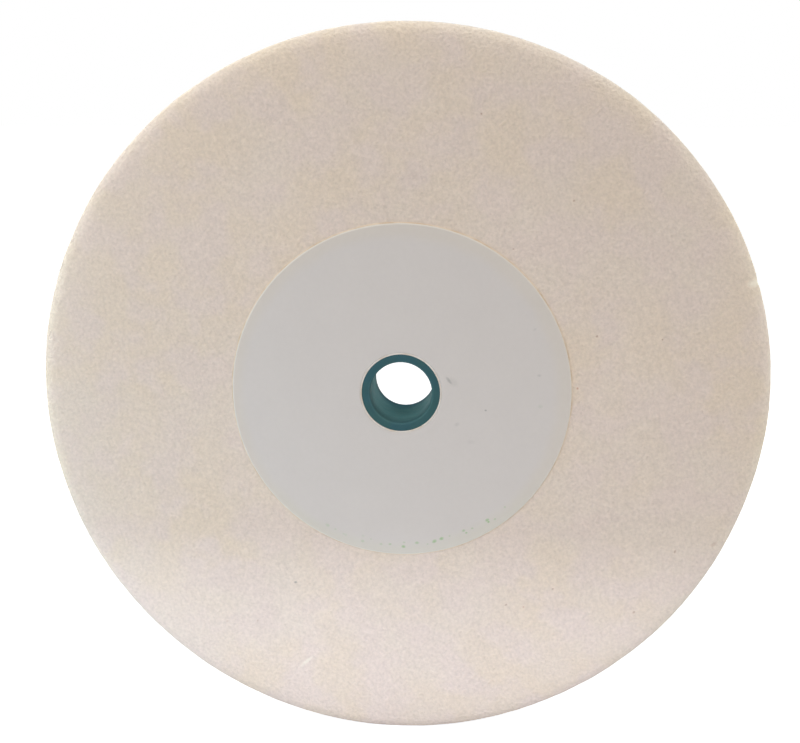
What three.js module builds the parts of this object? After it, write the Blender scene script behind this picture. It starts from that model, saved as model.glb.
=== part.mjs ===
// Felt polishing wheel for a lapidary or bench spindle: a flat disc of pressed wool felt with a
// moulded plastic bush in its bore, and a round paper disc glued on each face as a clamping pad.
// Millimetres. The wheel stands upright: its axis is Y, its front face looks along -Y, and its
// origin is the centre of the bore, halfway through the felt.
import * as THREE from "three";

// Felt body
const WHEEL_DIAMETER = 150;
const FELT_THICKNESS = 16;
const FELT_EDGE_RADIUS = 1.5; // the turned-over corner where each face meets the rim

// Bush that sizes the bore
const SPINDLE_DIAMETER = 12.7; // the half-inch spindle that the wheel runs on
const SPINDLE_CLEARANCE = 0.05; // on the radius
const BUSH_WALL = 1.7;
const BUSH_MOUTH_CHAMFER = 0.25;
const BUSH_SLEEVE_GLUE = 0.15; // glue between the bush and the felt, on the radius
const BUSH_BELOW_PAPER = 0.1; // each end of the bush stops this far below the paper

// Paper discs, one on each face
const PAPER_DIAMETER = 70;
const PAPER_THICKNESS = 0.35;
const PAPER_GLUE = 0.1; // glue film under each paper disc
const PAPER_HOLE_CLEARANCE = 0.2; // on the radius, round the bush
const GLUE_SQUEEZE_OUT = 0.25; // how far the glue film shows past the edge of the paper

// Fineness of the round surfaces
const SIDES = 96;
const CORNER_STEPS = 5;

const wheelRadius = WHEEL_DIAMETER / 2;
const feltFace = FELT_THICKNESS / 2;
const glueFace = feltFace + PAPER_GLUE;
const paperFace = glueFace + PAPER_THICKNESS;
const boreRadius = SPINDLE_DIAMETER / 2 + SPINDLE_CLEARANCE;
const bushRadius = boreRadius + BUSH_WALL;
const bushEnd = paperFace - BUSH_BELOW_PAPER;
const feltHoleRadius = bushRadius + BUSH_SLEEVE_GLUE;
const paperHoleRadius = bushRadius + PAPER_HOLE_CLEARANCE;
const paperRadius = PAPER_DIAMETER / 2;

const feltWool = new THREE.MeshStandardMaterial({ color: 0xe2d5c9, roughness: 1, metalness: 0 });
const greyPaper = new THREE.MeshStandardMaterial({ color: 0xcdc9c4, roughness: 0.6, metalness: 0 });
const driedGlue = new THREE.MeshStandardMaterial({ color: 0xd9d2bd, roughness: 0.4, metalness: 0 });
const tealPlastic = new THREE.MeshStandardMaterial({ color: 0x426164, roughness: 0.45, metalness: 0 });

// A named mesh: the closed outline, in (radius, height) with the height along Y, turned round Y.
function turned(name, outline, material) {
  const profile = outline.getPoints(CORNER_STEPS);
  const mesh = new THREE.Mesh(new THREE.LatheGeometry(profile, SIDES), material);
  mesh.name = name;
  return mesh;
}

// Outline of a plain flat ring from one height to another.
function ringOutline(innerRadius, outerRadius, bottom, top) {
  return new THREE.Path()
    .moveTo(innerRadius, bottom)
    .lineTo(outerRadius, bottom)
    .lineTo(outerRadius, top)
    .lineTo(innerRadius, top)
    .lineTo(innerRadius, bottom);
}

function feltWheel() {
  const cornerRadius = Math.min(FELT_EDGE_RADIUS, feltFace);
  const cornerCentre = wheelRadius - cornerRadius;
  const cornerHeight = feltFace - cornerRadius;
  const outline = new THREE.Path()
    .moveTo(feltHoleRadius, -feltFace)
    .lineTo(cornerCentre, -feltFace)
    .absarc(cornerCentre, -cornerHeight, cornerRadius, -Math.PI / 2, 0, false)
    .absarc(cornerCentre, cornerHeight, cornerRadius, 0, Math.PI / 2, false)
    .lineTo(feltHoleRadius, feltFace)
    .lineTo(feltHoleRadius, -feltFace);
  return turned("felt_wheel", outline, feltWool);
}

function boreBush() {
  const chamfer = Math.min(BUSH_MOUTH_CHAMFER, BUSH_WALL / 2);
  const mouthRadius = boreRadius + chamfer;
  const chamferHeight = bushEnd - chamfer;
  const outline = new THREE.Path()
    .moveTo(mouthRadius, -bushEnd)
    .lineTo(bushRadius, -bushEnd)
    .lineTo(bushRadius, bushEnd)
    .lineTo(mouthRadius, bushEnd)
    .lineTo(boreRadius, chamferHeight)
    .lineTo(boreRadius, -chamferHeight)
    .lineTo(mouthRadius, -bushEnd);
  return turned("bore_bush", outline, tealPlastic);
}

function bushGlueSleeve() {
  const outline = ringOutline(bushRadius, feltHoleRadius, -feltFace, feltFace);
  return turned("bush_glue_sleeve", outline, driedGlue);
}

// The glue film and the paper disc of one face. side is -1 at the front and 1 at the rear.
function clampingPad(end, side) {
  const layer = (name, innerRadius, outerRadius, inside, outside, material) => {
    const heights = [side * inside, side * outside].sort((a, b) => a - b);
    return turned(`${end}_${name}`, ringOutline(innerRadius, outerRadius, ...heights), material);
  };
  const glueRadius = paperRadius + GLUE_SQUEEZE_OUT;
  return [
    layer("glue_film", paperHoleRadius, glueRadius, feltFace, glueFace, driedGlue),
    layer("paper_disc", paperHoleRadius, paperRadius, glueFace, paperFace, greyPaper),
  ];
}

const wheel = new THREE.Group();
wheel.name = "felt_polishing_wheel";
wheel.add(feltWheel(), bushGlueSleeve(), boreBush());
wheel.add(...clampingPad("front", -1), ...clampingPad("rear", 1));

export default wheel;
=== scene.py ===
"""A polishing wheel of pressed wool felt, with a plastic bush and a paper pad on each face.

Laid out as an add-on. Each operator builds one piece of the wheel, or one group of like pieces.
Sizes are in metres, and the wheel's axis is Y, with its front face looking along -Y.
"""

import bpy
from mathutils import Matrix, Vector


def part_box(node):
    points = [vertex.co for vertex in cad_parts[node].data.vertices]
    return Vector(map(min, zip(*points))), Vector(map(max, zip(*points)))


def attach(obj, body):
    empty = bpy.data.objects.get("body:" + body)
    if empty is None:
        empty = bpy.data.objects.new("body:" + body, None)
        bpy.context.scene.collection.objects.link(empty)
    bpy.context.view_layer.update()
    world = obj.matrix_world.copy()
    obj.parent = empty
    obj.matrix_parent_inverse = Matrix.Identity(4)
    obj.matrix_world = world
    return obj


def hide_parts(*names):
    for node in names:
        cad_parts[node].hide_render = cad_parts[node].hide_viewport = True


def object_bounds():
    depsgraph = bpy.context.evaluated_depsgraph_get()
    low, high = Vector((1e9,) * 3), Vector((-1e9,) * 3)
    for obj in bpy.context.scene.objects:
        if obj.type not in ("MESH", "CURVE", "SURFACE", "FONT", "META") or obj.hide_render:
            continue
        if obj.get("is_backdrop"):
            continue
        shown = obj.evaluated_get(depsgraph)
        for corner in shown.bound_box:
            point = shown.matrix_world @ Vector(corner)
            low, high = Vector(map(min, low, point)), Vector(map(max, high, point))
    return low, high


bl_info = {
    "name": "Felt Polishing Wheel",
    "version": (1, 0, 0),
    "blender": (4, 5, 0),
    "location": "View3D > Sidebar > Wheel",
    "description": "Builds a felt polishing wheel from its separate pieces, in a plain studio",
    "category": "Object",
}

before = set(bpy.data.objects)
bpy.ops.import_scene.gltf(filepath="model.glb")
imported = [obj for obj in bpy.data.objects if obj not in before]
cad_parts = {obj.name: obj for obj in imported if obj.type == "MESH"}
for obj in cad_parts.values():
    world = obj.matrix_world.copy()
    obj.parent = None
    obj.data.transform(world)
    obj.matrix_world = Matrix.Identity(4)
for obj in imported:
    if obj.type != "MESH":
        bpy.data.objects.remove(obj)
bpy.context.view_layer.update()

import math
import random
from collections import namedtuple

import bmesh
import bpy
from bpy.props import FloatProperty, FloatVectorProperty, IntProperty, PointerProperty
from mathutils import Matrix, Vector, noise

MM = 0.001
FELT_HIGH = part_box("felt_wheel")[1]
SLEEVE_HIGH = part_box("bush_glue_sleeve")[1]
BUSH_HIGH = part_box("bore_bush")[1]
PAPER_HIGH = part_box("rear_paper_disc")[1]
GLUE_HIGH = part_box("rear_glue_film")[1]

# The wheel's two faces, and the way along Y that each of them looks
SIDES = (("front", -1), ("rear", 1))

# A mark on a flat face: where it is and its size in millimetres, how far its long side is turned
# from X towards Z, its colour, and how much of the colour shows.
Mark = namedtuple("Mark", "x z length width turn colour strength")

PALE_FELT = (0.92, 0.85, 0.74)
BROWN_FLECK = (0.33, 0.16, 0.09)
RUST_FLECK = (0.50, 0.22, 0.13)
GREY_DUST = (0.20, 0.21, 0.20)
GREEN_DUST = (0.30, 0.42, 0.27)
# Cream of the painted highlight along the paper's outer edge
EDGE_HIGHLIGHT_CREAM = (0.92, 0.88, 0.81)
WHITE = (1.0, 1.0, 1.0)

# Torn or scratched places, which are dents as well as marks
NICKS = (
    Mark(70.9, 23.3, 3.2, 1.7, 12, PALE_FELT, 0.75),
    Mark(-20.6, -60.3, 4.2, 0.9, 42, PALE_FELT, 0.7),
)
# Bits of plant matter and dust caught in the wool of the front face
FLECKS = (
    Mark(34.4, 39.6, 0.5, 0.4, 20, BROWN_FLECK, 0.5),
    Mark(39.8, 12.3, 0.6, 0.5, 60, BROWN_FLECK, 0.5),
    Mark(36.2, 1.4, 0.5, 0.6, 0, RUST_FLECK, 0.6),
    Mark(22.6, 29.9, 0.5, 0.4, 10, BROWN_FLECK, 0.35),
    Mark(22.4, -46.0, 0.7, 0.4, 35, BROWN_FLECK, 0.45),
    Mark(26.1, -46.4, 0.5, 0.4, 80, RUST_FLECK, 0.4),
    Mark(32.2, -42.2, 0.6, 0.4, 15, BROWN_FLECK, 0.4),
    Mark(49.4, -47.0, 0.7, 0.5, 50, BROWN_FLECK, 0.45),
    Mark(57.4, -33.3, 0.8, 0.5, 70, BROWN_FLECK, 0.45),
    Mark(65.4, -31.7, 1.6, 0.8, 30, BROWN_FLECK, 0.25),
    Mark(-22.6, -42.0, 0.7, 0.6, 0, GREY_DUST, 0.55),
    Mark(-37.6, -51.3, 0.6, 0.4, 25, BROWN_FLECK, 0.3),
    Mark(-31.0, -51.0, 0.6, 0.4, 65, BROWN_FLECK, 0.3),
)
# Rubbed-in dust on the front paper
SMUDGES = (
    Mark(9.9, 2.8, 2.0, 0.6, -52, GREY_DUST, 0.38),
    Mark(10.7, 2.5, 2.6, 1.6, -40, GREY_DUST, 0.10),
    Mark(17.5, -3.4, 0.5, 0.4, 0, GREY_DUST, 0.5),
    Mark(11.6, -6.5, 1.3, 0.9, 20, GREY_DUST, 0.14),
    Mark(14.6, -10.2, 1.8, 0.9, 0, GREY_DUST, 0.07),
    Mark(28.3, 4.1, 0.9, 0.6, 0, GREY_DUST, 0.2),
    Mark(27.2, 13.6, 1.0, 0.5, 40, GREY_DUST, 0.12),
    Mark(28.7, -2.4, 1.1, 0.8, 0, GREEN_DUST, 0.16),
)
# A patch of fine creases in the front paper, which has no colour of its own
CREASES = Mark(19.0, 15.2, 9.0, 6.0, 48, None, 0)

MARK_DEPTH = 4.0  # how deep into a piece a mark reaches, in millimetres
NICK_DEPTH = 0.14 * MM
CORNER_ARC = 63  # degrees of each of the felt's corners, which starts where the face slopes by 27
FINE_MESH_START = PAPER_HIGH.x - 1.5 * MM  # inside this radius the paper hides the felt
# Lumps per millimetre in the felt's broad unevenness, its small lumps and its grain
BROAD_LUMPS, SMALL_LUMPS, GRAIN_LUMPS = 0.045, 0.22, 0.62
# Waves per millimetre in the glued paper, and ripples per millimetre in the beads of glue
PAPER_WAVES, BEAD_SWELLS, BEAD_RIPPLES, SLEEVE_RIPPLES = 0.16, 0.3, 1.1, 0.8
# Turns, in degrees, of the rim's offset and of its two-lobed and three-lobed waves
OFFSET_TURN, TWO_LOBE_TURN, THREE_LOBE_TURN = -69, 46, 103


# ---------------------------------------------------------------- sizes and colours

def length(name, description, default):
    return FloatProperty(
        name=name, description=description, default=default, min=0, precision=6,
        subtype="DISTANCE", unit="LENGTH",
    )


def watts(name, description, default):
    return FloatProperty(name=name, description="Watts of: " + description, default=default, min=0)


def colour(name, description, default):
    return FloatVectorProperty(
        name=name, description=description, default=default, min=0, max=1, size=3, subtype="COLOR",
    )


class FeltSettings(bpy.types.PropertyGroup):
    radius: length("Radius", "Radius of the wheel", FELT_HIGH.x + 0.13 * MM)
    half_thickness: length("Half Thickness", "From the felt's middle to each face", FELT_HIGH.y)
    hole_radius: length("Hole Radius", "Radius of the hole through the felt", SLEEVE_HIGH.x)
    corner_radius: length("Corner Radius", "Rounding where each face meets the rim", 0.9 * MM)
    shoulder_width: length("Shoulder Width", "Band inside the rim that falls away", 14.4 * MM)
    shoulder_drop: length("Shoulder Drop", "How quickly that band falls away", 0.52 * MM)
    spacing: length("Spacing", "Distance between the rings of the mesh", 0.78 * MM)
    segments: IntProperty(name="Segments", description="Steps round the wheel", default=600, min=32)
    unevenness: length("Unevenness", "Height of the broad unevenness of the felt", 0.13 * MM)
    grain: length("Grain", "Height of the small lumps in the felt", 0.035 * MM)
    eccentricity: length("Eccentricity", "How far the rim is off the bore's centre", 0.36 * MM)
    out_of_round: length("Out of Round", "How far the rim leaves a true circle", 0.25 * MM)
    tone: colour("Colour", "Colour of the wool", (0.775, 0.672, 0.585))


class PadSettings(bpy.types.PropertyGroup):
    radius: length("Radius", "Radius of the paper disc", PAPER_HIGH.x)
    hole_radius: length("Hole Radius", "Radius of the hole in the paper", BUSH_HIGH.x + 0.3 * MM)
    felt_face: length("Felt Face", "Height of the felt's face above the middle", FELT_HIGH.y)
    glue_face: length("Glue Face", "Height of the glue under the paper", GLUE_HIGH.y)
    paper_face: length("Paper Face", "Height of the paper's outer face", PAPER_HIGH.y)
    edge_rounding: length("Edge Rounding", "Rounding of the paper's cut edge", 0.15 * MM)
    waviness: length("Waviness", "Height of the waves in the glued paper", 0.03 * MM)
    bead_width: length("Bead Width", "How far the glue shows past the paper",
                       GLUE_HIGH.x - PAPER_HIGH.x)
    segments: IntProperty(name="Segments", description="Steps round the disc", default=288, min=32)
    paper_tone: colour("Paper Colour", "Colour of the paper", (0.678, 0.636, 0.608))
    border_tone: colour("Border Colour", "Colour near the edge, where the felt shows through",
                        (0.686, 0.627, 0.556))
    print_tone: colour("Print Colour", "Colour of the last of a printed ring", (0.25, 0.48, 0.17))
    glue_tone: colour("Glue Colour", "Colour of the dried glue", (0.82, 0.70, 0.56))


class BushSettings(bpy.types.PropertyGroup):
    outer_radius: length("Outer Radius", "Outside radius of the bush", BUSH_HIGH.x)
    half_length: length("Half Length", "From the middle of the bush to each end", BUSH_HIGH.y)
    bore_radius: length("Bore Radius", "Radius of the spindle hole", 6.4 * MM)
    mouth_chamfer: length("Mouth Chamfer", "Chamfer at each mouth of the bore", 0.25 * MM)
    edge_rounding: length("Edge Rounding", "Rounding of the moulded edges", 0.12 * MM)
    seam_height: length("Seam Height", "Height of the seam round the middle of the bore", 0.03 * MM)
    segments: IntProperty(name="Segments", description="Steps round the bush", default=192, min=24)
    tone: colour("Colour", "Colour of the plastic", (0.047, 0.119, 0.123))
    glue_tone: colour("Glue Colour", "Colour of the glue round the bush", (0.84, 0.78, 0.72))


class StageSettings(bpy.types.PropertyGroup):
    azimuth: FloatProperty(name="Azimuth", description="Camera's turn from the front towards +X",
                           default=math.radians(3.63), subtype="ANGLE", unit="ROTATION")
    elevation: FloatProperty(name="Elevation", description="Camera's height above the horizon",
                             default=math.radians(12.25), subtype="ANGLE", unit="ROTATION")
    distance: length("Distance", "From the camera to the middle of the front face", 274.2 * MM)
    face_right: length("Face Right", "How far the face's middle is right of the view's", 0.19 * MM)
    face_down: length("Face Down", "How far the face's middle is below the view's", 4.365 * MM)
    lens: FloatProperty(name="Lens", description="Focal length on a 36 mm sensor, in millimetres",
                        default=59.78, min=1)
    floor_size: length("Floor Size", "Side of the square floor", 8.0)
    floor_tone: colour("Floor Colour", "Colour of the floor", (0.55, 0.55, 0.55))
    floor_glow: FloatProperty(name="Floor Glow", description="Glow of the floor that is only seen",
                              default=0.86, min=0)
    sky: FloatProperty(name="Sky", description="Strength of the soft light from the front",
                       default=1.745, min=0)
    sky_tone: colour("Sky Colour", "Colour of the soft light", (1.0, 0.960, 0.925))
    rim_top: watts("Rim Top", "The strip that grazes the top of the rim", 0.125)
    rim_top_tone: colour("Rim Top Colour", "Colour of that strip", (0.96, 1.0, 0.86))
    above: watts("Above", "The cool strip above the wheel and a little behind it", 0.12)
    above_tone: colour("Above Colour", "Colour of that strip", (0.215, 0.52, 1.0))
    rim_left: watts("Rim Left", "The strip that grazes the left of the rim", 0.135)
    rim_corner: watts("Rim Corner", "The strip at the upper left", 0.06)
    rim_right: watts("Rim Right", "The strip that grazes the right of the rim", 0.10)
    side_tone: colour("Side Colour", "Colour of the strips at the sides", (0.88, 1.0, 0.90))
    low: watts("Low", "The strip that lights the floor in front of the wheel", 0.075)
    low_tone: colour("Low Colour", "Colour of that strip", (0.66, 0.76, 1.0))
    low_left: watts("Low Left", "The cool light low on the left", 0.030)
    low_left_tone: colour("Low Left Colour", "Colour of that light", (0.45, 0.78, 1.0))
    back: watts("Back", "Each of the two lights behind the wheel", 0.45)


# ---------------------------------------------------------------- mesh helpers

def spun(outline, segments):
    """A closed outline of (radius, height along Y) points, turned once round the Y axis."""
    shape = bmesh.new()
    corners = [shape.verts.new((radius, height, 0)) for radius, height in outline]
    sides = [shape.edges.new(pair) for pair in zip(corners, corners[1:] + corners[:1])]
    bmesh.ops.spin(
        shape, geom=corners + sides, cent=(0, 0, 0), axis=(0, 1, 0), dvec=(0, 0, 0),
        angle=math.tau, steps=segments, use_merge=True, use_duplicate=False,
    )
    bmesh.ops.remove_doubles(shape, verts=shape.verts, dist=0.001 * MM)
    bmesh.ops.recalc_face_normals(shape, faces=shape.faces)
    return shape


def straight(start, end, spacing):
    """Points from start up to, but not at, end, about spacing apart."""
    start, end = Vector(start), Vector(end)
    steps = max(1, round((end - start).length / spacing))
    return [tuple(start.lerp(end, step / steps)) for step in range(steps)]


def arc(centre, radius, start, end, spacing):
    """Points on an arc from the start angle up to, but not at, the end angle, in degrees."""
    steps = max(2, round(abs(math.radians(end - start)) * radius / spacing))
    angles = [math.radians(start + (end - start) * step / steps) for step in range(steps)]
    return [(centre[0] + radius * math.cos(a), centre[1] + radius * math.sin(a)) for a in angles]


def from_axis(point):
    """A point's distance from the wheel's axis."""
    return math.hypot(point.x, point.z)


def smooth_step(low, high, value):
    """From 0 where the value is low or less to 1 where it is high or more, without corners."""
    share = min(1.0, max(0.0, (value - low) / (high - low)))
    return share * share * (3 - 2 * share)


def mark_depth(mark, point):
    """From 0 outside a mark to 1 in its middle, at a point of the front face in millimetres."""
    turn = math.radians(mark.turn)
    across_x, across_z = point.x - mark.x, point.z - mark.z
    along = (across_x * math.cos(turn) + across_z * math.sin(turn)) / (mark.length / 2)
    aside = (across_z * math.cos(turn) - across_x * math.sin(turn)) / (mark.width / 2)
    return 1 - smooth_step(0.2, 1.3, math.hypot(along, aside))


def round_edges(shape, edges, size, segments=2):
    bmesh.ops.bevel(
        shape, geom=edges, offset=size, offset_type="OFFSET", affect="EDGES", segments=segments,
        profile=0.5, material=-1, clamp_overlap=True,
    )


def sharp_edges(shape, least_degrees=25):
    return [edge for edge in shape.edges if edge.calc_face_angle(0) > math.radians(least_degrees)]


def piece(name, shape, finish, slot, *nodes):
    """Turns a shape into a smooth-shaded piece of the wheel that stands for its CAD nodes."""
    mesh = bpy.data.meshes.new(name)
    shape.normal_update()
    shape.to_mesh(mesh)
    shape.free()
    mesh.shade_smooth()
    mesh.materials.append(finish)
    made = bpy.data.objects.new(name, mesh)
    bpy.context.scene.collection.objects.link(made)
    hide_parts(*nodes)
    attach(made, "root")
    return made


# ---------------------------------------------------------------- finishes

class Finish:
    """A material being built. Its patterns read the piece's own coordinates in millimetres."""

    def __init__(self, name, **surface):
        self.material = bpy.data.materials.new(name)
        self.material.use_nodes = True
        self.tree = self.material.node_tree
        self.surface = self.tree.nodes["Principled BSDF"]
        for socket, value in surface.items():
            self.surface.inputs[socket.replace("_", " ")].default_value = value
        metres = self.node("TexCoord").outputs["Object"]
        scaled = self.node("VectorMath", {0: metres, "Scale": 1 / MM}, operation="SCALE")
        self.place = scaled.outputs[0]

    def node(self, kind, inputs=None, **settings):
        made = self.tree.nodes.new("ShaderNode" + kind)
        for name, value in settings.items():
            setattr(made, name, value)
        for socket, value in (inputs or {}).items():
            if isinstance(value, bpy.types.NodeSocket):
                self.tree.links.new(value, made.inputs[socket])
            else:
                made.inputs[socket].default_value = value
        return made

    def maths(self, operation, first, second=0.0):
        return self.node("Math", {0: first, 1: second}, operation=operation).outputs[0]

    def part(self, axis):
        """One coordinate, in millimetres."""
        return self.node("SeparateXYZ", {0: self.place}).outputs[axis]

    def length_of(self, vector):
        return self.node("VectorMath", {0: vector}, operation="LENGTH").outputs["Value"]

    def radius(self, centre=(0.0, 0.0)):
        """Distance from a line along Y, in millimetres."""
        line = (centre[0], 0, centre[1])
        moved = self.node("VectorMath", {0: self.place, 1: line}, operation="SUBTRACT")
        flat = self.node("VectorMath", {0: moved.outputs[0], 1: (1, 0, 1)}, operation="MULTIPLY")
        return self.length_of(flat.outputs[0])

    def noise(self, size, detail=2.0, roughness=0.5, place=None, distortion=0.0):
        """Noise with lumps of about this size in millimetres, from 0 to 1."""
        return self.node("TexNoise", {
            "Vector": place or self.place, "Scale": 1 / size, "Detail": detail,
            "Roughness": roughness, "Distortion": distortion,
        }).outputs[0]

    def spread(self, value, low, high, bottom=0.0, top=1.0, smooth=True):
        """A value's range from low to high, spread from bottom to top."""
        return self.node("MapRange", {
            "Value": value, "From Min": low, "From Max": high, "To Min": bottom, "To Max": top,
        }, interpolation_type="SMOOTHSTEP" if smooth else "LINEAR").outputs["Result"]

    def swing(self, value, amount):
        """A value from 0 to 1, spread evenly from -amount to amount."""
        return self.spread(value, 0, 1, -amount, amount, smooth=False)

    def mix(self, share, first, second):
        """Two colours mixed, from all of the first at 0 to all of the second at 1."""
        colours = [(*c, 1.0) if isinstance(c, tuple) else c for c in (first, second)]
        mixed = self.node("Mix", {0: share, 6: colours[0], 7: colours[1]}, data_type="RGBA")
        return mixed.outputs[2]

    def lighten(self, tone, value, amount):
        """The colour, brighter where the value is above a half and darker where it is below."""
        strength = self.spread(value, 0.0, 1.0, 1 - amount, 1 + amount, smooth=False)
        return self.node("VectorMath", {0: tone, "Scale": strength}, operation="SCALE").outputs[0]

    def patch(self, mark, face=FELT_HIGH.y):
        """Coordinates that turn one mark of the front face into a ball of radius 1."""
        return self.node("Mapping", {
            "Vector": self.place,
            "Location": (mark.x, -face / MM, mark.z),
            "Rotation": (0, -math.radians(mark.turn), 0),
            "Scale": (mark.length / 2, MARK_DEPTH, mark.width / 2),
        }, vector_type="TEXTURE").outputs[0]

    def mark(self, tone, mark):
        """The colour with one mark on it, ragged at its edge."""
        away = self.length_of(self.patch(mark))
        ragged = self.maths("ADD", away, self.swing(self.noise(0.35), 0.35))
        share = self.spread(ragged, 1.3, 0.3, 0.0, mark.strength)
        return self.mix(share, tone, mark.colour)

    def streaks(self, turns, long=2.6, thin=0.22):
        """Crossing fine fibres that lie in the face, from 0 to 1."""
        total = None
        for turn in turns:
            turned = self.node("Mapping", {
                "Vector": self.place,
                "Rotation": (0, math.radians(turn), 0),
                "Scale": (long, thin, thin),
            }, vector_type="TEXTURE").outputs[0]
            fibre = self.noise(1.0, detail=1.0, place=turned, distortion=0.6)
            total = fibre if total is None else self.maths("ADD", total, fibre)
        return self.maths("DIVIDE", total, float(len(turns)))

    def bump(self, height, distance, below=None):
        """A bump of this many millimetres, on top of another one."""
        inputs = {"Height": height, "Distance": distance * MM, "Strength": 1.0}
        if below is not None:
            inputs["Normal"] = below
        return self.node("Bump", inputs).outputs[0]

    def wear(self, socket, value):
        self.tree.links.new(value, self.surface.inputs[socket])


def tinted(tone, red, green, blue):
    """The colour with its red, green and blue multiplied."""
    return (tone[0] * red, tone[1] * green, tone[2] * blue)


def wool_finish(settings):
    finish = Finish("pressed_wool_felt", Roughness=0.95, Specular_IOR_Level=0.25,
                    Sheen_Weight=0.22, Sheen_Roughness=0.45, Sheen_Tint=(1.0, 0.97, 0.92, 1.0))
    wool = tuple(settings.tone)
    yellowish = tinted(wool, 1.01, 0.99, 0.94)
    pinkish = tinted(wool, 1.0, 0.985, 1.01)
    tone = finish.mix(finish.spread(finish.noise(22.0), 0.35, 0.65), wool, yellowish)
    tone = finish.mix(finish.spread(finish.noise(9.0), 0.4, 0.65), tone, pinkish)
    lumps = finish.noise(0.65, detail=1.5, roughness=0.6)
    fibres = finish.streaks((15, 75, 135))
    tone = finish.lighten(tone, finish.noise(30.0), 0.03)
    tone = finish.lighten(tone, finish.noise(5.0), 0.012)
    tone = finish.lighten(tone, lumps, 0.16)
    tone = finish.lighten(tone, fibres, 0.10)

    # Loose flecks all over, and the larger ones of the front face
    cells = finish.node("TexVoronoi", {"Vector": finish.place, "Scale": 1 / 9.0, "Randomness": 1.0})
    near = finish.spread(cells.outputs["Distance"], 0.028, 0.012)
    chosen = finish.node("SeparateColor", {0: cells.outputs["Color"]}).outputs[0]
    rare = finish.maths("GREATER_THAN", chosen, 0.72)
    share = finish.maths("MULTIPLY", finish.maths("MULTIPLY", near, rare), 0.45)
    tone = finish.mix(share, tone, BROWN_FLECK)
    for mark in NICKS + FLECKS:
        tone = finish.mark(tone, mark)

    finish.wear("Base Color", tone)
    soft = finish.bump(finish.noise(1.7), 0.10)
    grain = finish.bump(lumps, 0.24, soft)
    finish.wear("Normal", finish.bump(fibres, 0.05, grain))
    return finish.material


def paper_finish(settings, end, side):
    finish = Finish(end + "_pad_paper", Specular_IOR_Level=0.35)
    grey = tuple(settings.paper_tone)
    warm = tuple(settings.border_tone)
    greenish = tinted(warm, 0.975, 1.015, 0.99)
    edge = settings.radius / MM

    # The felt shows through a border that is wider towards the upper right than on the left
    ragged = finish.swing(finish.noise(6.0), 0.6)
    border = finish.maths("ADD", finish.radius((-0.55, -0.35)), ragged)
    low_part = finish.spread(finish.part("Z"), -15.0, -28.0)
    border_tone = finish.mix(low_part, warm, greenish)
    tone = finish.mix(finish.spread(border, edge - 3.8, edge - 0.9, 0.0, 0.6), grey, border_tone)
    # Painted highlight: a cream line along the paper's outer edge, where its rounded edge catches
    # the light
    cut = finish.spread(finish.radius(), edge - 0.35, edge - 0.1, 0.0, 0.5)
    tone = finish.mix(cut, tone, EDGE_HIGHLIGHT_CREAM)
    tone = finish.lighten(tone, finish.noise(7.0), 0.015)
    tone = finish.lighten(tone, finish.noise(0.9, detail=3.0), 0.018)
    pulp = finish.streaks((0, 60, 120), long=1.4, thin=0.15)
    tone = finish.lighten(tone, pulp, 0.02)
    normal = finish.bump(pulp, 0.012, finish.bump(finish.noise(3.0), 0.03))

    if side < 0:
        for mark in printed_ring(settings) + SMUDGES:
            tone = finish.mark(tone, mark)
        normal = finish.bump(crease_pattern(finish), 0.03, normal)
    finish.wear("Base Color", tone)
    finish.wear("Roughness", finish.spread(finish.noise(4.0), 0.3, 0.7, 0.48, 0.62))
    finish.wear("Normal", normal)
    return finish.material


def printed_ring(settings):
    """What is left of a printed ring: specks on an arc along the paper's lower right edge."""
    picked = random.Random(11)
    ring_radius = settings.radius / MM - 2.3
    most_worn_below = -96
    specks = []
    for degrees in range(-118, -46, 3):
        angle = math.radians(degrees + picked.uniform(-2, 2))
        radius = ring_radius + picked.uniform(-0.6, 0.6)
        size = picked.uniform(0.45, 1.0)
        strength = picked.uniform(0.25, 0.8) * (1.0 if degrees > most_worn_below else 0.45)
        specks.append(Mark(radius * math.cos(angle), radius * math.sin(angle), size, size * 0.75,
                           degrees + 90, tuple(settings.print_tone), strength))
    return tuple(specks)


def crease_pattern(finish):
    """Fine slanting creases in one patch of the paper, from 0 to 1."""
    local = finish.patch(CREASES, PAPER_HIGH.y)
    share = finish.spread(finish.length_of(local), 1.2, 0.3)
    stretched = finish.node("Mapping", {"Vector": local, "Scale": (0.8, 0.2, 4.5)}).outputs[0]
    ridges = finish.noise(1.0, detail=1.0, place=stretched, distortion=0.3)
    return finish.maths("MULTIPLY", share, ridges)


def glue_finish(name, tone):
    finish = Finish(name, Specular_IOR_Level=0.5)
    dried = tuple(tone)
    dark = tinted(dried, 0.86, 0.80, 0.72)
    mixed = finish.mix(finish.spread(finish.noise(3.0), 0.4, 0.7), dried, dark)
    finish.wear("Base Color", finish.lighten(mixed, finish.noise(0.5), 0.08))
    finish.wear("Roughness", finish.spread(finish.noise(0.8), 0.3, 0.7, 0.3, 0.55))
    finish.wear("Normal", finish.bump(finish.noise(0.4), 0.02))
    return finish.material


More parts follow.
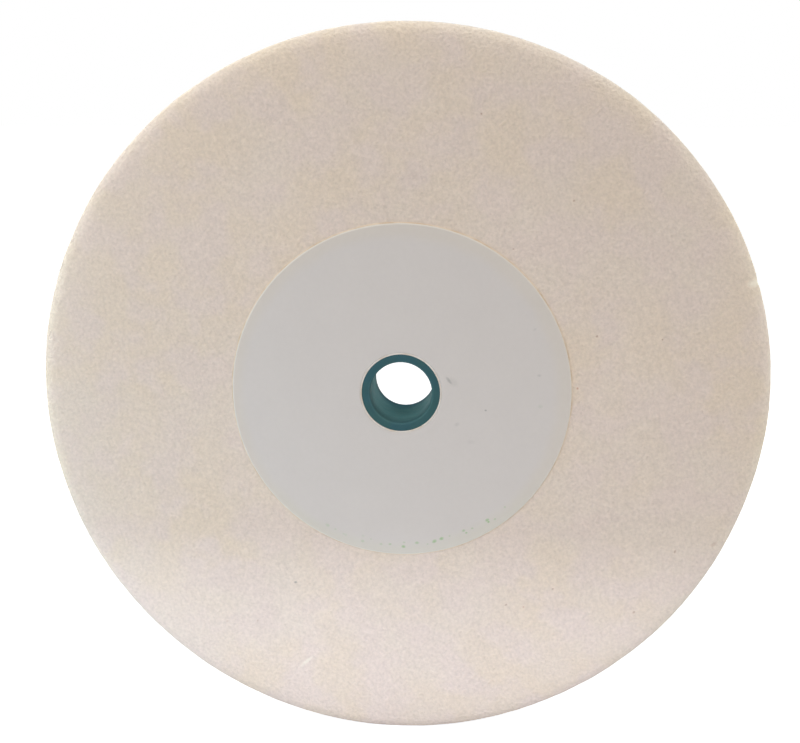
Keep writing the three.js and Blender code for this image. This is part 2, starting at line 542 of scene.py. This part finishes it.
def plastic_finish(settings):
    finish = Finish("teal_plastic", Specular_IOR_Level=0.08)
    teal = tuple(settings.tone)
    bluer = tinted(teal, 0.9, 0.96, 1.1)
    # Painted light: the teal made several times paler, for the lit wall of the bore
    painted_light_teal = tinted(teal, 4.0, 3.3, 3.3)
    scuffed_painted_light_teal = tinted(painted_light_teal, 1.3, 1.15, 1.15)
    bore, end = settings.bore_radius / MM, settings.half_length / MM

    # Painted light: the wall of the bore is painted paler, and more so away from its mouths, for
    # the light that reaches into it from behind the wheel
    depth = finish.maths("ABSOLUTE", finish.part("Y"))
    inside = finish.spread(depth, end + 0.9, end - 5.0, smooth=False)
    wall = finish.spread(finish.radius(), bore + 0.5, bore + 0.1)
    inside = finish.maths("MULTIPLY", inside, wall)
    moulded = finish.mix(finish.spread(finish.noise(5.0), 0.35, 0.65), teal, bluer)
    tone = finish.mix(inside, moulded, painted_light_teal)
    tone = finish.lighten(tone, finish.noise(2.2), 0.08)

    # Long scuffs that a spindle leaves on the wall of the bore, painted paler still than the
    # painted light of the wall
    drawn = finish.node("Mapping", {"Vector": finish.place, "Scale": (1.6, 0.12, 1.6)}).outputs[0]
    scuffs = finish.spread(finish.noise(1.0, detail=3.0, place=drawn), 0.56, 0.72)
    share = finish.maths("MULTIPLY", finish.maths("MULTIPLY", scuffs, inside), 0.25)
    finish.wear("Base Color", finish.mix(share, tone, scuffed_painted_light_teal))
    finish.wear("Roughness", finish.spread(finish.noise(1.4), 0.3, 0.7, 0.42, 0.6))

    # Faint rings from the mould on the end faces
    rings = finish.node("TexNoise", {"W": finish.radius(), "Scale": 5.0, "Detail": 2.0},
                        noise_dimensions="1D").outputs[0]
    turned = finish.bump(rings, 0.012)
    finish.wear("Normal", finish.bump(finish.noise(0.35), 0.012, turned))
    return finish.material


def floor_finish(settings):
    """A matt floor with a glow that is only seen, and lights nothing."""
    finish = Finish("pale_floor", Roughness=0.9, Specular_IOR_Level=0.0,
                    Emission_Color=(*WHITE, 1.0), Base_Color=(*settings.floor_tone, 1.0))
    seen = finish.node("LightPath").outputs["Is Camera Ray"]
    finish.wear("Emission Strength", finish.maths("MULTIPLY", seen, settings.floor_glow))
    return finish.material


# ---------------------------------------------------------------- the pieces

def edge_drop(settings, radius):
    """How far a face has fallen away at this radius: slowly at first, and fast close to the rim."""
    reach = settings.shoulder_width
    gap = min(reach, max(settings.radius - radius, settings.corner_radius / 3))
    return settings.shoulder_drop * (math.log(reach / gap) - 1 + gap / reach)


def felt_outline(settings):
    """The felt's section: the bore wall, a face, a corner, the rim, and the same back again."""
    corner = settings.corner_radius
    face = settings.half_thickness
    step = settings.spacing
    hole = settings.hole_radius

    # The face falls away from the middle and hands over to the corner's arc
    turn_radius = settings.radius - corner * 0.55
    turn_height = face - edge_drop(settings, turn_radius)
    shown = straight((FINE_MESH_START, face), (turn_radius, face), step)
    front = [(radius, edge_drop(settings, radius) - face) for radius, _ in shown]
    rear = [(radius, -height) for radius, height in reversed(front)]
    centre = settings.radius - corner
    rise = turn_height - corner * math.sin(math.radians(CORNER_ARC))
    return (
        straight((hole, -face), (FINE_MESH_START, -face), 5 * step)
        + front
        + arc((centre, -rise), corner, -CORNER_ARC, 0, step / 3)
        + straight((settings.radius, -rise), (settings.radius, rise), step)
        + arc((centre, rise), corner, 0, CORNER_ARC, step / 3)
        + [(turn_radius, turn_height)]
        + rear
        + straight((FINE_MESH_START - 5 * step, face), (hole, face), 5 * step)
        + [(hole, face)]
    )


def relief(settings, point):
    """How far the felt stands out, at a point in millimetres."""
    broad = noise.fractal(point * BROAD_LUMPS, 1.0, 2.0, 2)
    lumps = noise.fractal(point * SMALL_LUMPS + Vector((7, 3, 1)), 1.0, 2.0, 2)
    grain = noise.noise(point * GRAIN_LUMPS + Vector((2, 9, 4)))
    height = settings.unevenness * (0.7 * broad + 0.35 * lumps) + settings.grain * grain
    if point.y < 0:
        for mark in NICKS:
            height -= NICK_DEPTH * mark_depth(mark, point)
    return height


def off_round(settings, point):
    """The small shift of a felt point that makes the rim eccentric and not quite round."""
    angle = math.atan2(point.z, point.x)
    share = smooth_step(PAPER_HIGH.x, settings.radius, from_axis(point))
    swell = settings.eccentricity * math.cos(angle - math.radians(OFFSET_TURN))
    swell += settings.out_of_round * math.cos(2 * angle - math.radians(TWO_LOBE_TURN))
    swell += settings.out_of_round * 0.8 * math.cos(3 * angle - math.radians(THREE_LOBE_TURN))
    return Vector((math.cos(angle), 0, math.sin(angle))) * swell * share


class WHEEL_OT_felt_body(bpy.types.Operator):
    """Build the round body of pressed wool felt"""
    bl_idname = "wheel.felt_body"
    bl_label = "Felt Body"

    def execute(self, context):
        settings = context.scene.wheel_felt
        shape = spun(felt_outline(settings), settings.segments)
        shape.normal_update()
        for vertex in shape.verts:
            radius = from_axis(vertex.co)
            # Under the paper the felt is flat and round
            if radius > PAPER_HIGH.x:
                uncovered = smooth_step(PAPER_HIGH.x, PAPER_HIGH.x + MM, radius)
                height = relief(settings, vertex.co / MM) * uncovered
                vertex.co += vertex.normal * height + off_round(settings, vertex.co)
        piece("felt_body", shape, wool_finish(settings), "felt", "felt_wheel")
        return {"FINISHED"}


class WHEEL_OT_paper_discs(bpy.types.Operator):
    """Build the paper disc on each face"""
    bl_idname = "wheel.paper_discs"
    bl_label = "Paper Discs"

    def execute(self, context):
        settings = context.scene.wheel_pad
        hole, rim = settings.hole_radius, settings.radius
        low, high = settings.glue_face, settings.paper_face
        outline = [
            *straight((hole, low), (rim, low), 4 * MM), (rim, low),
            *straight((rim, high), (hole, high), 0.6 * MM), (hole, high),
        ]
        for end, side in SIDES:
            shape = spun([(radius, side * height) for radius, height in outline], settings.segments)
            round_edges(shape, sharp_edges(shape), settings.edge_rounding)
            for vertex in shape.verts:
                if abs(vertex.co.y) > low + 0.1 * MM:
                    place = vertex.co / MM * PAPER_WAVES + Vector((0, side * 5, 0))
                    wave = noise.fractal(place, 1.0, 2.0, 2)
                    vertex.co.y -= side * settings.waviness * (0.5 + 0.5 * wave)
            finish = paper_finish(settings, end, side)
            piece(end + "_paper", shape, finish, "paper", end + "_paper_disc")
        return {"FINISHED"}


class WHEEL_OT_glue_films(bpy.types.Operator):
    """Build the glue film under each paper disc, with the bead that it leaves at the edge"""
    bl_idname = "wheel.glue_films"
    bl_label = "Glue Films"

    def execute(self, context):
        settings = context.scene.wheel_pad
        finish = glue_finish("pad_glue", settings.glue_tone)
        hole, rim = settings.hole_radius, settings.radius
        low, high = settings.felt_face, settings.glue_face
        film = high - low
        rounding = arc((rim, low), film, 0, 90, film / 4)
        bead = [(rim + (radius - rim) * settings.bead_width / film, height)
                for radius, height in rounding]
        outline = [
            *straight((hole, low), (rim, low), 5 * MM), *bead,
            *straight((rim, high), (hole, high), 5 * MM), (hole, high),
        ]
        for end, side in SIDES:
            shape = spun([(radius, side * height) for radius, height in outline], settings.segments)
            for vertex in shape.verts:
                radius = from_axis(vertex.co)
                past = radius - rim
                if past > 0:
                    flow = noise.noise(vertex.co / MM * BEAD_SWELLS + Vector((side * 4, 1, 2)))
                    fine = noise.noise(vertex.co / MM * BEAD_RIPPLES)
                    share = 1 + past * (0.55 * flow + 0.25 * fine) / radius
                    vertex.co.x *= share
                    vertex.co.z *= share
            piece(end + "_glue", shape, finish, "glue", end + "_glue_film")
        return {"FINISHED"}


class WHEEL_OT_bush(bpy.types.Operator):
    """Build the moulded plastic bush that lines the bore"""
    bl_idname = "wheel.bush"
    bl_label = "Bush"

    def execute(self, context):
        settings = context.scene.wheel_bush
        bore, end = settings.bore_radius, settings.half_length
        mouth = bore + settings.mouth_chamfer
        chamfer_height = end - settings.mouth_chamfer
        wall = straight((bore, chamfer_height), (bore, -chamfer_height), 1.2 * MM)
        outline = [
            (mouth, -end),
            *straight((settings.outer_radius, -end), (settings.outer_radius, end), 2 * MM),
            (settings.outer_radius, end),
            (mouth, end),
            *wall,
            (bore, -chamfer_height),
        ]
        shape = spun(outline, settings.segments)
        round_edges(shape, sharp_edges(shape), settings.edge_rounding)
        seam = min(abs(height) for _, height in wall) + 0.01 * MM
        for vertex in shape.verts:
            if abs(vertex.co.y) < seam and from_axis(vertex.co) < mouth:
                share = 1 - settings.seam_height / bore
                vertex.co.x *= share
                vertex.co.z *= share
        piece("bush", shape, plastic_finish(settings), "bush_plastic", "bore_bush")
        return {"FINISHED"}


class WHEEL_OT_glue_sleeve(bpy.types.Operator):
    """Build the glue between the bush and the felt, with its bead at each end"""
    bl_idname = "wheel.glue_sleeve"
    bl_label = "Glue Sleeve"

    def execute(self, context):
        bush = context.scene.wheel_bush
        inner, outer, face = bush.outer_radius, SLEEVE_HIGH.x, SLEEVE_HIGH.y
        gap = context.scene.wheel_pad.hole_radius
        crown = PAPER_HIGH.y - 0.03 * MM
        foot = crown - 0.05 * MM
        wall_end = face - 0.02 * MM
        upper = [(gap, face), (gap, foot), ((inner + gap) / 2, crown), (inner, foot), (inner, face)]
        lower = [(radius, -height) for radius, height in reversed(upper)]
        outline = lower + [(outer, -wall_end), (outer, wall_end)] + upper
        shape = spun(outline, bush.segments)
        for vertex in shape.verts:
            if abs(vertex.co.y) > face + 0.1 * MM:
                sag = abs(noise.noise(vertex.co / MM * SLEEVE_RIPPLES))
                vertex.co.y *= 1 - 0.006 * sag
        finish = glue_finish("bush_glue", bush.glue_tone)
        piece("glue_sleeve", shape, finish, "glue", "bush_glue_sleeve")
        return {"FINISHED"}


# ---------------------------------------------------------------- the stage

def strip(name, place, facing, power, tone, width, height):
    """A soft rectangular light that isn't seen itself. It shines the opposite way to facing."""
    lamp = bpy.data.lights.new(name, "AREA")
    lamp.energy = power
    lamp.color = tone
    lamp.shape = "RECTANGLE"
    lamp.size = width
    lamp.size_y = height
    made = bpy.data.objects.new(name, lamp)
    turned = Vector(facing).to_track_quat("Z", "Y").to_matrix().to_4x4()
    made.matrix_world = Matrix.Translation(place) @ turned
    made.visible_camera = False
    bpy.context.scene.collection.objects.link(made)


def camera_place(settings):
    """The camera's axes and its place, from where the middle of the front face is in its view."""
    turn, rise = settings.azimuth, settings.elevation
    right = Vector((math.cos(turn), math.sin(turn), 0))
    forward = Vector((
        -math.sin(turn) * math.cos(rise), math.cos(turn) * math.cos(rise), -math.sin(rise),
    ))
    up = right.cross(forward)
    face_middle = Vector((0, -FELT_HIGH.y, 0))
    place = face_middle - settings.face_right * right + settings.face_down * up
    place -= settings.distance * forward
    axes = Matrix((right, up, -forward)).transposed().to_4x4()
    return Matrix.Translation(place) @ axes


class WHEEL_OT_stage(bpy.types.Operator):
    """Build the floor, the lights and the camera"""
    bl_idname = "wheel.stage"
    bl_label = "Stage"

    def execute(self, context):
        settings = context.scene.wheel_stage
        shape = bmesh.new()
        bmesh.ops.create_grid(shape, x_segments=2, y_segments=2, size=settings.floor_size / 2)
        bmesh.ops.translate(shape, verts=shape.verts, vec=(0, 0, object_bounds()[0].z))
        mesh = bpy.data.meshes.new("floor")
        shape.to_mesh(mesh)
        shape.free()
        mesh.materials.append(floor_finish(settings))
        floor = bpy.data.objects.new("floor", mesh)
        context.scene.collection.objects.link(floor)
        floor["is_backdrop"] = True

        self.sky(context.scene, settings)
        side = settings.side_tone
        # Each strip's name, place, the way its back faces, power, colour, width and height
        strip("rim_top", (-0.02, 0.004, 0.17), (0, 0, 1), settings.rim_top,
              settings.rim_top_tone, 0.30, 0.03)
        strip("above", (-0.02, 0.03, 0.17), (0, 0, 1), settings.above,
              settings.above_tone, 0.30, 0.07)
        strip("rim_left", (-0.18, 0.004, 0), (-1, 0, 0), settings.rim_left, side, 0.03, 0.25)
        strip("rim_corner", (-0.13, 0.004, 0.13), (-1, 0, 1), settings.rim_corner,
              WHITE, 0.25, 0.03)
        strip("rim_right", (0.18, 0.004, 0.03), (1, 0, 0), settings.rim_right, side, 0.03, 0.25)
        strip("low", (-0.03, -0.07, -0.03), (0, 0, 1), settings.low, settings.low_tone, 0.30, 0.06)
        strip("low_left", (-0.13, -0.10, -0.03), (-0.13, -0.10, -0.01), settings.low_left,
              settings.low_left_tone, 0.12, 0.08)
        for end, x in (("back_left", -0.30), ("back_right", 0.30)):
            strip(end, (x, 0.25, 0.08), (x, 0.25, 0.08), settings.back, WHITE, 0.25, 0.25)

        view = bpy.data.cameras.new("camera")
        view.sensor_width = 36
        view.lens = settings.lens
        view.clip_start = 0.01
        camera = bpy.data.objects.new("camera", view)
        camera.matrix_world = camera_place(settings)
        context.scene.collection.objects.link(camera)
        context.scene.camera = camera
        context.scene.view_settings.view_transform = "Standard"
        return {"FINISHED"}

    def sky(self, scene, settings):
        """Soft light that is strongest from the front, in a world that is seen as plain white."""
        world = bpy.data.worlds.new("studio")
        world.use_nodes = True
        scene.world = world
        nodes, links = world.node_tree.nodes, world.node_tree.links
        direction = nodes.new("ShaderNodeTexCoord")
        facing = nodes.new("ShaderNodeVectorMath")
        facing.operation = "DOT_PRODUCT"
        facing.inputs[1].default_value = Vector((0, -1, 0.3)).normalized()
        links.new(direction.outputs["Generated"], facing.inputs[0])

        def maths(operation, first, second):
            made = nodes.new("ShaderNodeMath")
            made.operation = operation
            links.new(first, made.inputs[0])
            made.inputs[1].default_value = second
            return made.outputs[0]

        ahead = maths("MAXIMUM", facing.outputs["Value"], 0)
        squared = maths("POWER", ahead, 2)
        glow = nodes["Background"]
        glow.inputs["Color"].default_value = (*settings.sky_tone, 1.0)
        links.new(maths("MULTIPLY", squared, settings.sky), glow.inputs["Strength"])
        white = nodes.new("ShaderNodeBackground")
        white.inputs["Color"].default_value = (*WHITE, 1.0)
        seen = nodes.new("ShaderNodeLightPath")
        both = nodes.new("ShaderNodeMixShader")
        links.new(seen.outputs["Is Camera Ray"], both.inputs[0])
        links.new(glow.outputs[0], both.inputs[1])
        links.new(white.outputs[0], both.inputs[2])
        links.new(both.outputs[0], nodes["World Output"].inputs["Surface"])


# ---------------------------------------------------------------- the add-on

OPERATORS = (
    WHEEL_OT_felt_body, WHEEL_OT_glue_sleeve, WHEEL_OT_bush, WHEEL_OT_glue_films,
    WHEEL_OT_paper_discs, WHEEL_OT_stage,
)
SETTINGS = {
    "wheel_felt": FeltSettings,
    "wheel_pad": PadSettings,
    "wheel_bush": BushSettings,
    "wheel_stage": StageSettings,
}


class WHEEL_PT_panel(bpy.types.Panel):
    """Settings and operators of the felt wheel"""
    bl_idname = "WHEEL_PT_panel"
    bl_label = "Felt Polishing Wheel"
    bl_space_type = "VIEW_3D"
    bl_region_type = "UI"
    bl_category = "Wheel"

    def draw(self, context):
        for operator in OPERATORS:
            self.layout.operator(operator.bl_idname)
        for name, group in SETTINGS.items():
            column = self.layout.column(align=True)
            for key in group.__annotations__:
                column.prop(getattr(context.scene, name), key)


def register():
    for group in (*SETTINGS.values(), *OPERATORS, WHEEL_PT_panel):
        bpy.utils.register_class(group)
    for name, group in SETTINGS.items():
        setattr(bpy.types.Scene, name, PointerProperty(type=group))


def unregister():
    for name in SETTINGS:
        delattr(bpy.types.Scene, name)
    for group in (WHEEL_PT_panel, *reversed(OPERATORS), *reversed(SETTINGS.values())):
        bpy.utils.unregister_class(group)


def main():
    register()
    for operator in OPERATORS:
        family, action = operator.bl_idname.split(".")
        getattr(getattr(bpy.ops, family), action)()


if __name__ == "__main__":
    main()
